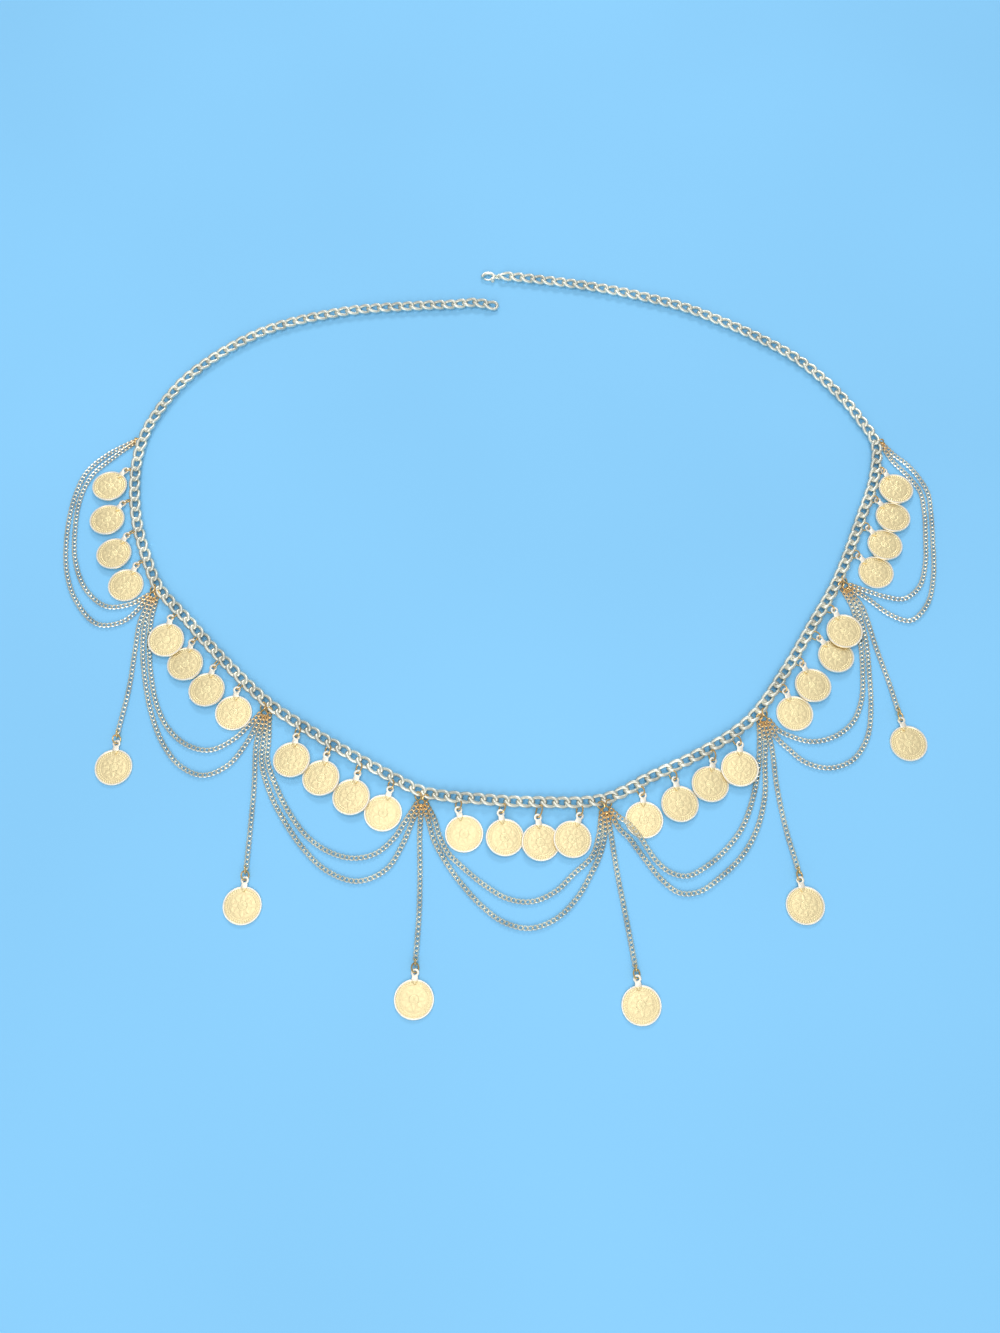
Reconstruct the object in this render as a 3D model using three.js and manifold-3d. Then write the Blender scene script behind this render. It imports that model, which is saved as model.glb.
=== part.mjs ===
// A coin waist chain, laid out flat: a curb chain worn round the waist, seven rows of four coins on
// jump rings, seven double swags of fine chain and six drops of fine chain with a coin at the end.
// Millimetres, +Z up. The chain lies on the plane z = 0, with the clasp side towards +Y, and the
// origin is the middle of the ground it covers.

import * as THREE from 'three';
import { mergeVertices } from 'three/addons/utils/BufferGeometryUtils.js';
import Module from 'manifold-3d';

const wasm = await Module();
wasm.setup();

// Driving dimensions
const GAP = 0.3;
const COIN = { radius: 10, thickness: 1.0, sides: 16 };
const EAR = { holeReach: 13, tip: 2.1, neck: 1.7, root: 7.4, thickness: 0.7, bite: 0.2 };
const RING = { radius: 2.2, wire: 0.5, steps: 8, sides: 4 };
const DROP_RING = { radius: 2.6, wire: 0.5, steps: 8, sides: 4 };
const END_LOOP = { radius: 1.7, wire: 0.45, steps: 8, sides: 4 };
const CURB = { wide: 3.2, narrow: 2.6, slope: 1.15, height: 2.4 };
const FINE = { width: 2.6, endWidth: 1, taper: 12, height: 1.3, step: 8, riseStep: 3 };

// How far a jump ring's middle stands out from the waist chain's middle line
const RING_OUT = 4.05;

// Links of the waist chain before the first knot, between two knots and after the last
const LINKS = { leftTail: 38, bay: 15, rightTail: 40 };

// Degrees between neighbouring strands at a knot, and the place that each strand of a swag takes
const FAN_STEP = 30;
const STRAND_SLOTS = { outer: 1, inner: 2 };

// The most that two neighbouring coins overlap
const LAP = 4;

// The waist chain's middle line from its plain end, round the loop, to its clasp end. A row with a
// knot is where a swag ring hangs.
const WAIST = [
  { x: -2, y: 204 },
  { x: -49, y: 203 },
  { x: -98, y: 197 },
  { x: -146, y: 181 },
  { x: -186, y: 150 },
  { x: -204, y: 121 },
  { x: -209, y: 106, knot: 0 },
  { x: -211, y: 84 },
  { x: -207, y: 53 },
  { x: -197, y: 24 },
  { x: -190, y: 10, knot: 1 },
  { x: -172, y: -10 },
  { x: -154, y: -30 },
  { x: -124, y: -59, knot: 2 },
  { x: -104.4, y: -72.2 },
  { x: -82.4, y: -85.6 },
  { x: -59.3, y: -98.5 },
  { x: -40, y: -108, knot: 3 },
  { x: -9, y: -112 },
  { x: 17, y: -113.5 },
  { x: 54, y: -112, knot: 4 },
  { x: 80, y: -99.5 },
  { x: 103, y: -88.5 },
  { x: 126, y: -74.5 },
  { x: 138.5, y: -63, knot: 5 },
  { x: 158, y: -35.5 },
  { x: 172, y: -13 },
  { x: 189, y: 15.2, knot: 6 },
  { x: 206.5, y: 55.4 },
  { x: 216.2, y: 80.2 },
  { x: 219.5, y: 104, knot: 7 },
  { x: 212.5, y: 119.5 },
  { x: 202.5, y: 136 },
  { x: 181, y: 160.5 },
  { x: 158, y: 177 },
  { x: 134.5, y: 190 },
  { x: 110.5, y: 201 },
  { x: 62, y: 214.5 },
  { x: 12, y: 222.5 },
  { x: 3, y: 223.5 },
];

// Each knot's fan: the way its strands spread, in degrees turned left from +X.
const KNOTS = [
  { fan: 214 },
  { fan: 252 },
  { fan: 264 },
  { fan: 270 },
  { fan: 284 },
  { fan: 278 },
  { fan: 300 },
  { fan: 322 },
];

// Rows of coins: the link that each coin's ring hangs from, counted from the knot before, how far
// the coin turns from pointing straight down, positive to the left, the side on which it lies over
// its neighbour, and how high its low side lies.
const ROWS = [
  { links: [3, 6, 9, 12], turns: [37, 36, 27, 21], over: 'next', lifts: [0, 0, 0, 0] },
  { links: [3, 6, 9, 12], turns: [6, 11, 11, 4], over: 'next', lifts: [1.65, 0, 0, 0] },
  { links: [3.5, 6.5, 9.5, 12.5], turns: [8, 11, 13, 15], over: 'next', lifts: [0, 0, 0, 0] },
  { links: [3, 6.5, 9.5, 13], turns: [-14, -10, -6, 18], over: 'last', lifts: [0, 0, 0, 0] },
  { links: [3, 6, 9.5, 12], turns: [-1, -8, 10, 4], over: 'last', lifts: [0, 0, 0, 1.65] },
  { links: [3, 6, 9, 12], turns: [-17, -20, -38, -20], over: 'last', lifts: [0, 0, 0, 1.95] },
  { links: [3, 6, 9, 12], turns: [-42, -38, -36, -25], over: 'last', lifts: [0, 0, 0, 0] },
];

// Swags: the points that the inner and outer strands pass through between two knots. A third
// number is the height at which a strand lies over a coin.
const SWAGS = [
  {
    inner: [[-225, 95], [-236.5, 82.5], [-241.5, 67], [-242, 48], [-239.5, 28], [-231.5, 10], [-219, -0.5],
      [-206, 0.5]],
    outer: [[-228.5, 97], [-240, 84.5], [-245, 67], [-246.3, 45], [-243.5, 21], [-235.5, 2], [-222, -11.5],
      [-208, -9.5]],
  },
  {
    inner: [[-193, -9], [-192.6, -24], [-189.5, -43], [-184.5, -60], [-177, -73], [-166, -82], [-154, -84.5],
      [-142, -78.5], [-133.5, -69.5]],
    outer: [[-196, -9], [-196, -25], [-192.9, -44], [-187.5, -63.5], [-179.5, -81], [-169, -93.5],
      [-156.5, -98.5], [-144, -93], [-135, -80.5]],
  },
  {
    inner: [[-123.2, -78], [-123.2, -90], [-117, -106], [-109.5, -119.5], [-100, -131.5], [-88.5, -139.5],
      [-76, -143], [-64, -140.5], [-54.5, -132], [-49.3, -123.5]],
    outer: [[-126.2, -78], [-126.3, -91], [-120.5, -108.5], [-112.5, -123], [-102, -137.5], [-89, -149.5],
      [-73, -155], [-58.5, -149], [-50, -135], [-45.8, -124]],
  },
  {
    inner: [[-34, -122.5], [-31.3, -131.5], [-27, -140], [-19.5, -147.5], [-8, -157], [4, -164], [16, -165.5],
      [28, -160.5], [38, -151], [47.5, -142], [51, -132]],
    outer: [[-37, -124], [-34.4, -133], [-28.5, -144], [-20, -156], [-9, -168], [2, -176], [15, -179],
      [28, -174.5], [39, -164], [46.3, -152], [51.6, -141], [54.4, -130]],
  },
  {
    inner: [[62.3, -121.8, 1], [65, -123.5, 1.5], [69, -127.5, 1.5], [72.5, -132.5, 1.5], [76, -138, 0.5],
      [80.5, -144.5], [87.5, -150.5], [96, -152.3], [106.5, -147], [117, -138], [126, -126.5], [132.8, -110],
      [136.6, -94], [138.2, -81]],
    outer: [[62.3, -127.8], [66.8, -132.5], [74.5, -143.5], [82.5, -154], [91.5, -161], [101.5, -160.5],
      [113.5, -152.5], [125, -141.5], [133.5, -127.5], [138.8, -110], [140.3, -91], [141.4, -79.5]],
  },
  {
    inner: [[148.3, -73], [154.5, -76.5], [166, -79.8], [178.5, -77], [189, -69], [195, -56.5], [197.4, -40],
      [198, -22], [196.8, -8], [195.5, -0.5]],
    outer: [[147.5, -77.5], [153.5, -84], [162, -91.5], [174.5, -94.5], [187, -90], [196, -77.5],
      [199.8, -60], [201, -40], [201.2, -22], [199.8, -8], [198.1, -0.5]],
  },
  {
    inner: [[205, 8.8], [214, 5.5], [225, 4], [234.5, 11.5], [239.6, 26], [241.8, 43], [243, 58], [243, 72],
      [241.2, 82], [236, 91], [229.5, 97.5]],
    outer: [[205.5, 3.5], [216, -5.5], [227, -9.3], [237.5, 0.5], [243.2, 18], [245.6, 40], [246.5, 59],
      [246.2, 73], [244.4, 84], [239, 93.5], [231.5, 100]],
  },
];

// Drops: the points of the chain from the knot down, then the point where its last link holds the
// coin's ring, and the way the coin points, in degrees turned from straight down, positive to the left.
const DROPS = [
  { knot: 1, route: [[-199.1, -10], [-200, -26], [-201, -50]], end: [-204, -76.5], turn: 1 },
  { knot: 2, route: [[-129.7, -80], [-129.3, -104], [-129.7, -130]], end: [-130.2, -150], turn: 2 },
  { knot: 3, route: [[-41.6, -130], [-41, -150], [-41, -172]], end: [-42.2, -196.5], turn: 1 },
  { knot: 4, route: [[57.6, -131], [60, -150], [64, -175]], end: [67.6, -199.5], turn: -7 },
  { knot: 5, route: [[144.5, -82], [145.5, -104], [148.5, -128]], end: [152.8, -150], turn: -7 },
  { knot: 6, route: [[201, -0.5], [203.1, -8], [206, -24], [210.8, -45]], end: [214.2, -63.5], turn: -11 },
];

// Clasp, with its length along X and its eye at the right
const CLASP = {
  y: 223.5, tipX: -11.5, width: 5.8, height: 2.4,
  hole: { x: -7.3, rx: 2.5, ry: 1.55 },
  hookEnd: 195, gateFrom: 205, gateTo: 312,
  shank: { x: -2.7, length: 2.8, width: 2 },
  eye: { x: -1.2, outer: 1.5, inner: 0.75, depth: 1.4 },
  pin: { x: -4.6, y: -1.9, radius: 0.45, hole: 0.8, head: 1, headDepth: 0.4 },
  cheek: 0.55, lever: 1, boss: 1.35, sweep: 5,
  ring: { x: 0.35, radius: 1.55, wire: 0.4 },
};

// Finishes
const goldCoin = { color: 0xe9cf8d, roughness: 0.38, metalness: 1 };
const paleGold = { color: 0xd9cba6, roughness: 0.3, metalness: 1 };
const ringGold = { color: 0xd8b065, roughness: 0.28, metalness: 1 };

// Solids

function solidFrom(geometry) {
  const bare = geometry.clone();
  bare.deleteAttribute('normal');
  bare.deleteAttribute('uv');
  const merged = mergeVertices(bare, 1e-4);
  const vertProperties = new Float32Array(merged.attributes.position.array);
  const triVerts = new Uint32Array(merged.index.array);
  return new wasm.Manifold(new wasm.Mesh({ numProp: 3, vertProperties, triVerts }));
}

function geometryFrom(solid) {
  const mesh = solid.getMesh();
  const geometry = new THREE.BufferGeometry();
  geometry.setAttribute('position', new THREE.BufferAttribute(new Float32Array(mesh.vertProperties), 3));
  geometry.setIndex(new THREE.BufferAttribute(new Uint32Array(mesh.triVerts), 1));
  return geometry;
}

function join(geometries) {
  const solids = geometries.map(solidFrom);
  return geometryFrom(solids.reduce((whole, next) => whole.add(next)));
}

function piece(name, geometry, finish) {
  geometry.computeVertexNormals();
  const mesh = new THREE.Mesh(geometry, new THREE.MeshStandardMaterial(finish));
  mesh.name = name;
  return mesh;
}

// Closes a row of equal rings of points into one solid. Each ring turns left seen from the row's end.
function loft(rings) {
  const sides = rings[0].length;
  const last = (rings.length - 1) * sides;
  const index = [];
  for (let start = 0; start < last; start += sides) {
    for (let j = 0; j < sides; j += 1) {
      const a = start + j;
      const b = start + ((j + 1) % sides);
      index.push(a, b, b + sides, a, b + sides, a + sides);
    }
  }
  for (let j = 1; j + 1 < sides; j += 1) {
    index.push(0, j + 1, j, last, last + j, last + j + 1);
  }
  const geometry = new THREE.BufferGeometry();
  const numbers = rings.flat().flatMap((p) => [p.x, p.y, p.z]);
  geometry.setAttribute('position', new THREE.Float32BufferAttribute(numbers, 3));
  geometry.setIndex(index);
  return geometry;
}

// Routes

function smooth(points) {
  return new THREE.CatmullRomCurve3(points, false, 'centripetal');
}

// Gives count + 1 points an equal distance apart along the part of a curve from one place to another.
function evenPoints(curve, from, to, count) {
  const fine = 60 * count;
  const samples = [];
  for (let i = 0; i <= fine; i += 1) {
    samples.push(curve.getPoint(from + ((to - from) * i) / fine));
  }
  const along = [0];
  for (let i = 1; i <= fine; i += 1) {
    along.push(along[i - 1] + samples[i].distanceTo(samples[i - 1]));
  }
  const points = [];
  let at = 0;
  for (let i = 0; i <= count; i += 1) {
    const want = (along[fine] * i) / count;
    while (at < fine && along[at + 1] < want) {
      at += 1;
    }
    const share = at < fine ? (want - along[at]) / (along[at + 1] - along[at]) : 0;
    points.push(samples[at].clone().lerp(samples[Math.min(at + 1, fine)], share));
  }
  return points;
}

// The flat direction of a route at one of its points
function heading(points, i) {
  const before = points[Math.max(i - 1, 0)];
  const after = points[Math.min(i + 1, points.length - 1)];
  return new THREE.Vector3(after.x - before.x, after.y - before.y, 0).normalize();
}

function leftOf(direction) {
  return new THREE.Vector3(-direction.y, direction.x, 0);
}

function rightOf(direction) {
  return new THREE.Vector3(direction.y, -direction.x, 0);
}

function bearing(degrees) {
  const a = THREE.MathUtils.degToRad(degrees);
  return new THREE.Vector3(Math.cos(a), Math.sin(a), 0);
}

// The way a coin points, from degrees turned from straight down
function hanging(degrees) {
  return bearing(270 - degrees);
}

// The waist chain

// Half-link points along the whole waist line; even ones are where two links cross.
function waistPoints() {
  const curve = smooth(WAIST.map((row) => new THREE.Vector3(row.x, row.y, 0)));
  const places = WAIST.flatMap((row, i) => (row.knot === undefined ? [] : [i / (WAIST.length - 1)]));
  const stops = [0, ...places, 1];
  const points = [curve.getPoint(0)];
  for (let i = 0; i + 1 < stops.length; i += 1) {
    const tail = i === 0 ? LINKS.leftTail : LINKS.rightTail;
    const links = i === 0 || i + 2 === stops.length ? tail : LINKS.bay;
    points.push(...evenPoints(curve, stops[i], stops[i + 1], 2 * links).slice(1));
  }
  return points;
}

const waist = waistPoints();

function waistSection(point, left, half) {
  const top = half - CURB.slope;
  const rows = [[half, 0], [top, CURB.height], [-top, CURB.height], [-half, 0]];
  return rows.map(([out, up]) => point.clone().addScaledVector(left, out).setZ(up));
}

function waistChain() {
  const rings = waist.map((point, i) => {
    const half = i % 2 === 0 ? CURB.narrow : CURB.wide;
    return waistSection(point, leftOf(heading(waist, i)), half);
  });
  return piece('main_chain', loft(rings), paleGold);
}

// A place on the waist chain: its point and the way out of the loop.
function waistPlace(bay, link) {
  const i = 2 * (LINKS.leftTail + bay * LINKS.bay + link);
  return { point: waist[i], out: rightOf(heading(waist, i)) };
}

// Jump rings

// A ring that leans with its high side over the waist chain and its low side further out.
function leaningRing(place, ring, low) {
  const high = CURB.height + GAP + ring.wire + 0.04;
  const lean = Math.asin((high - low) / (2 * ring.radius));
  const geometry = new THREE.TorusGeometry(ring.radius, ring.wire, ring.sides, ring.steps);
  geometry.rotateY(lean);
  const turn = Math.atan2(place.out.y, place.out.x);
  geometry.rotateZ(turn);
  const centre = place.point.clone().addScaledVector(place.out, RING_OUT).setZ((high + low) / 2);
  geometry.translate(centre.x, centre.y, centre.z);
  const foot = place.point.clone().addScaledVector(place.out, RING_OUT + ring.radius * Math.cos(lean));
  return { geometry, centre, foot: foot.setZ(low) };
}

// Coins

function earTab(height) {
  const tab = new THREE.Shape();
  tab.moveTo(-EAR.neck, EAR.root);
  tab.lineTo(EAR.neck, EAR.root);
  for (let degrees = 0; degrees <= 180; degrees += 45) {
    const d = bearing(degrees);
    tab.lineTo(EAR.tip * d.x, EAR.holeReach + EAR.tip * d.y);
  }
  tab.closePath();
  const geometry = new THREE.ExtrudeGeometry(tab, { depth: EAR.thickness, bevelEnabled: false });
  geometry.translate(0, 0, height - EAR.bite);
  return geometry;
}

// A coin lying face up with its ear towards +Y, its middle at the origin and its foot at z = 0.
function coinBlank() {
  const disc = new THREE.CylinderGeometry(COIN.radius, COIN.radius, COIN.thickness, COIN.sides);
  disc.rotateX(Math.PI / 2);
  disc.translate(0, 0, COIN.thickness / 2);
  return join([disc, earTab(COIN.thickness)]);
}

// A coin that lies over its neighbour leans by this much, and its middle rises with it.
const LAP_TILT = Math.asin((COIN.thickness + GAP + 0.1) / (2 * COIN.radius - LAP));
const LAP_RISE = COIN.radius * Math.sin(LAP_TILT);

// Turns, tilts and raises a blank so that its ear's hole sits at a point. A tilt above zero raises
// the side that faces along the waist chain.
function placedCoin(place, hole, turn, tilt, rise) {
  const way = hanging(turn);
  const along = Math.atan2(place.out.y, place.out.x);
  const geometry = coinBlank();
  geometry.rotateZ(-THREE.MathUtils.degToRad(turn) - along);
  geometry.rotateX(tilt);
  geometry.rotateZ(along);
  geometry.translate(hole.x + EAR.holeReach * way.x, hole.y + EAR.holeReach * way.y, rise);
  return geometry;
}

// The height of the middle of a placed coin's ear at its hole
function earHeight(place, turn, tilt, rise) {
  const back = leftOf(place.out).dot(hanging(turn)) * EAR.holeReach;
  return rise - back * Math.sin(tilt) + COIN.thickness - EAR.bite + EAR.thickness / 2;
}

function rowCoin(row, bay, k) {
  const covers = row.over === 'next' ? k < 3 : k > 0;
  const leans = covers && row.lifts[k] === 0;
  const tilt = leans ? LAP_TILT * (row.over === 'next' ? 1 : -1) : 0;
  const rise = leans ? LAP_RISE : row.lifts[k];
  const place = waistPlace(bay, row.links[k]);
  const low = Math.max(RING.wire + 0.05, earHeight(place, row.turns[k], tilt, rise) - 0.1);
  const ring = leaningRing(place, RING, low);
  const coin = placedCoin(place, ring.foot, row.turns[k], tilt, rise);
  return piece(`row_${bay + 1}_coin_${k + 1}`, join([coin, ring.geometry]), goldCoin);
}

function rowCoins() {
  return ROWS.flatMap((row, bay) => row.turns.map((turn, k) => rowCoin(row, bay, k)));
}

// Knots

const isEnd = (knot) => knot === 0 || knot === KNOTS.length - 1;

// The leaning ring of a knot, the flat ring that its strands share, and that ring's middle.
function knotRings(knot) {
  const leaning = leaningRing(waistPlace(knot, 0), RING, RING.wire + 0.05);
  if (isEnd(knot)) return { geometries: [leaning.geometry], hub: leaning.centre };
  const hub = leaning.foot.clone().addScaledVector(bearing(KNOTS[knot].fan), RING.radius);
  const flat = new THREE.TorusGeometry(RING.radius, RING.wire, RING.sides, RING.steps);
  flat.translate(hub.x, hub.y, RING.wire + 0.02);
  return { geometries: [leaning.geometry, flat], hub };
}

const knots = KNOTS.map((row, knot) => ({ ...knotRings(knot), fan: row.fan }));

// Where a strand starts beside a knot. Slots run from -2 to 2 across the fan.
function slotPoint(knot, slot) {
  const { hub, fan } = knots[knot];
  const reach = RING.radius + RING.wire + GAP + 0.4;
  const step = isEnd(knot) ? FAN_STEP / 2 : FAN_STEP;
  return hub.clone().addScaledVector(bearing(fan + slot * step), reach).setZ(0);
}

function endRings() {
  return [
    piece('left_end_ring', knots[0].geometries[0], ringGold),
    piece('right_end_ring', knots[KNOTS.length - 1].geometries[0], ringGold),
  ];
}

// Fine chain

function fineSection(point, left, half) {
  const rows = [[half, 0], [half, FINE.height], [-half, FINE.height], [-half, 0]];
  return rows.map(([out, up]) => point.clone().addScaledVector(left, out).setZ(point.z + up));
}

function fineChain(points, taperStart, taperEnd) {
  const curve = smooth(points);
  const length = curve.getLength();
  const rises = points.some((point) => point.z > 0);
  const count = Math.ceil(length / (rises ? FINE.riseStep : FINE.step));
  const route = evenPoints(curve, 0, 1, count);
  const rings = route.map((point, i) => {
    const fromStart = taperStart ? (i * length) / count : Infinity;
    const fromEnd = taperEnd ? ((count - i) * length) / count : Infinity;
    const share = Math.min(1, Math.min(fromStart, fromEnd) / FINE.taper);
    const half = THREE.MathUtils.lerp(FINE.endWidth, FINE.width, share) / 2;
    point.z = Math.max(point.z, 0);
    return fineSection(point, leftOf(heading(route, i)), half);
  });
  return loft(rings);
}

function swagStrand(bay, name) {
  const slot = STRAND_SLOTS[name];
  const points = SWAGS[bay][name].map(([x, y, z]) => new THREE.Vector3(x, y, z ?? 0));
  const start = slotPoint(bay, isEnd(bay) ? 2 * slot - 3 : slot);
  const end = slotPoint(bay + 1, isEnd(bay + 1) ? 3 - 2 * slot : -slot);
  return piece(`swag_${bay + 1}_${name}`, fineChain([start, ...points, end], true, true), paleGold);
}

function swags() {
  return SWAGS.flatMap((row, bay) => [swagStrand(bay, 'inner'), swagStrand(bay, 'outer')]);
}

// Drops

// The last link of a drop stands upright round the near wire of its coin's ring.
const hingeHeight = END_LOOP.radius + END_LOOP.wire + 0.05;

function dropChain(row, k) {
  const way = hanging(row.turn);
  const hinge = new THREE.Vector3(row.end[0], row.end[1], 0);
  const loop = new THREE.TorusGeometry(END_LOOP.radius, END_LOOP.wire, END_LOOP.sides, END_LOOP.steps);
  loop.rotateX(Math.PI / 2);
  loop.rotateZ(Math.atan2(way.y, way.x));
  loop.translate(hinge.x, hinge.y, hingeHeight);
  const chainEnd = hinge.clone().addScaledVector(way, -END_LOOP.radius);
  const route = row.route.map(([x, y]) => new THREE.Vector3(x, y, 0));
  const { hub, fan } = knots[row.knot];
  const start = hub.clone().addScaledVector(bearing(fan), RING.radius).setZ(0);
  const chain = fineChain([start, ...route, chainEnd], true, true);
  const whole = join([chain, loop, ...knots[row.knot].geometries]);
  return piece(`drop_${k + 1}_chain`, whole, paleGold);
}

function dropCoin(row, k) {
  const way = hanging(row.turn);
  const hinge = new THREE.Vector3(row.end[0], row.end[1], hingeHeight);
  const reach = 2 * DROP_RING.radius;
  const drop = Math.asin((hingeHeight - COIN.thickness - 0.1) / reach);
  const ring = new THREE.TorusGeometry(DROP_RING.radius, DROP_RING.wire, DROP_RING.sides, DROP_RING.steps);
  ring.rotateZ(Math.PI / DROP_RING.steps);
  ring.translate(DROP_RING.radius * Math.cos(Math.PI / DROP_RING.steps), 0, 0);
  ring.rotateY(drop);
  ring.rotateZ(Math.atan2(way.y, way.x));
  ring.translate(hinge.x, hinge.y, hinge.z);
  const hole = hinge.clone().addScaledVector(way, reach * Math.cos(drop) - 0.4);
  const coin = placedCoin({ out: way }, hole, row.turn, 0, 0);
  return piece(`drop_${k + 1}_coin`, join([coin, ring]), goldCoin);
}

function drops() {
  return DROPS.flatMap((row, k) => [dropChain(row, k), dropCoin(row, k)]);
}

// Clasp

function ellipsePoints(x, rx, ry, from, to, step) {
  const points = [];
  const count = Math.round((to - from) / step);
  for (let i = 0; i <= count; i += 1) {
    const d = bearing(from + ((to - from) * i) / count);
    points.push(new THREE.Vector2(x + rx * d.x, ry * d.y));
  }
  return points;
}

// The part of the clasp's rim from one angle to another, between the outer edge and the hole
function rim(from, to, depth, z) {
  const { hole, tipX, width } = CLASP;
  const outer = ellipsePoints(hole.x, hole.x - tipX, width / 2, from, to, 20);
  const inner = ellipsePoints(hole.x, hole.rx, hole.ry, from, to, 20).reverse();
  const shape = new THREE.Shape([...outer, ...inner]);
  const geometry = new THREE.ExtrudeGeometry(shape, { depth, bevelEnabled: false });
  geometry.translate(0, CLASP.y, z);
  return geometry;
}

function post(x, y, radius, depth, z, sides) {
  const geometry = new THREE.CylinderGeometry(radius, radius, depth, sides);
  geometry.rotateX(Math.PI / 2);
  geometry.translate(x, CLASP.y + y, z + depth / 2);
  return geometry;
}

function claspBody() {
  const { height, hookEnd, gateTo, shank, eye, pin, cheek, lever, boss, ring } = CLASP;
  const hook = rim(gateTo - 360, hookEnd, height, 0);
  const bar = new THREE.BoxGeometry(shank.length, shank.width, height);
  bar.translate(shank.x, CLASP.y, height / 2);
  const eyeRing = post(eye.x, 0, eye.outer, eye.depth, (height - eye.depth) / 2, 12);
  const eyeHole = post(eye.x, 0, eye.inner, height + 2, -1, 10);
  const relief = post(pin.x, pin.y, boss + GAP + 0.05, height, cheek, 16);
  const plate = post(pin.x, pin.y, boss, cheek, 0, 10);
  const stem = post(pin.x, pin.y, pin.radius, height - 0.05, 0.05, 8);
  const headZ = cheek + lever + 2 * GAP;
  const head = post(pin.x, pin.y, pin.head, pin.headDepth, headZ, 10);
  const link = new THREE.TorusGeometry(ring.radius, ring.wire, 4, 8);
  link.translate(ring.x, CLASP.y, height / 2);
  const blank = solidFrom(join([hook, bar, eyeRing]));
  const cut = blank.subtract(solidFrom(eyeHole)).subtract(solidFrom(relief));
  const fitted = [plate, stem, head, link].reduce((whole, next) => whole.add(solidFrom(next)), cut);
  return piece('clasp_body', geometryFrom(fitted), ringGold);
}

function claspLever() {
  const { pin, cheek, lever, boss, gateFrom, gateTo, sweep } = CLASP;
  const z = cheek + GAP;
  const gate = rim(gateFrom, gateTo, lever, z);
  const reach = post(pin.x, pin.y, sweep, lever + 2, z - 1, 32);
  const knuckle = post(pin.x, pin.y, boss, lever, z, 10);
  const hole = post(pin.x, pin.y, pin.hole, lever + 2, z - 1, 8);
  const trimmed = solidFrom(gate).intersect(solidFrom(reach));
  const whole = trimmed.add(solidFrom(knuckle)).subtract(solidFrom(hole));
  return piece('clasp_lever', geometryFrom(whole), ringGold);
}

const waistChainSet = new THREE.Group();
waistChainSet.add(waistChain(), ...rowCoins(), ...swags(), ...drops(), ...endRings());
waistChainSet.add(claspBody(), claspLever());

export default waistChainSet;
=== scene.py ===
"""Coin waist chain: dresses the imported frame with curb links, stamped coins, jump rings, fine chain
swags and drops, and a lobster clasp. Tables are in millimetres, as in the part's source."""
import math

import bmesh
import bpy
from bpy.props import FloatProperty, FloatVectorProperty, IntProperty, PointerProperty
from mathutils import Matrix, Vector


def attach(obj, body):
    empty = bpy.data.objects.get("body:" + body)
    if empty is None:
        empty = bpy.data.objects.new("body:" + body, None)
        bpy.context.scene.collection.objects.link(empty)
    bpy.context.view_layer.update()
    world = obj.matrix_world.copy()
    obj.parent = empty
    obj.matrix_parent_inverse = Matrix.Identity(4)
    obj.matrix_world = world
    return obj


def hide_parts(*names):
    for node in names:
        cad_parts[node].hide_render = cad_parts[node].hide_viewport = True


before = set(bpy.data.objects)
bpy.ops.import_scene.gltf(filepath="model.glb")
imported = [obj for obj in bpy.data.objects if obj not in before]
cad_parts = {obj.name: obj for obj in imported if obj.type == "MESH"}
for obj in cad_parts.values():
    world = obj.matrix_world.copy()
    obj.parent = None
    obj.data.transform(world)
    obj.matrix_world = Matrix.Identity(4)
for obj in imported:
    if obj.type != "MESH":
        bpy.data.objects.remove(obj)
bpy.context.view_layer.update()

bl_info = {
    "name": "Coin Waist Chain",
    "version": (1, 0, 0),
    "blender": (4, 5, 0),
    "location": "3D View > Sidebar > Waist Chain",
    "description": "Builds a coin waist chain laid out flat, with swags, drops and a clasp",
    "category": "Add Mesh",
}

MM = 0.001
FIXED = "chains"

# The waist chain's middle line from its plain end to its clasp end. A third number names the knot
# that hangs there.
WAIST = [
    (-2.5, 200.9), (-15, 203.5), (-29, 202.2), (-49, 201.3), (-98, 196.4), (-146, 181.1),
    (-186, 150), (-204, 121), (-209, 106, 0),
    (-211, 84), (-207, 53), (-197, 24), (-190, 10, 1),
    (-172, -10), (-154, -30), (-124, -59, 2),
    (-104.4, -72.2), (-82.4, -85.6), (-59.3, -98.5), (-40, -108, 3),
    (-9, -112), (17, -113.5), (54, -112, 4),
    (80, -99.5), (103, -88.5), (126, -74.5), (138.5, -63, 5),
    (158, -35.5), (172, -13), (189, 15.2, 6),
    (206.5, 55.4), (216.2, 80.2), (219.5, 104, 7),
    (212.5, 119.5), (202.5, 136), (181, 160.5), (158, 177), (134.5, 190), (110.5, 201),
    (62, 214.5), (12, 222.5), (0.6, 223.7),
]
LINKS_LEFT, LINKS_BAY, LINKS_RIGHT = 38, 15, 40

# The way that each knot's strands spread, in degrees turned left from +X
KNOT_FANS = [214, 252, 264, 270, 284, 278, 300, 322]

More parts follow.
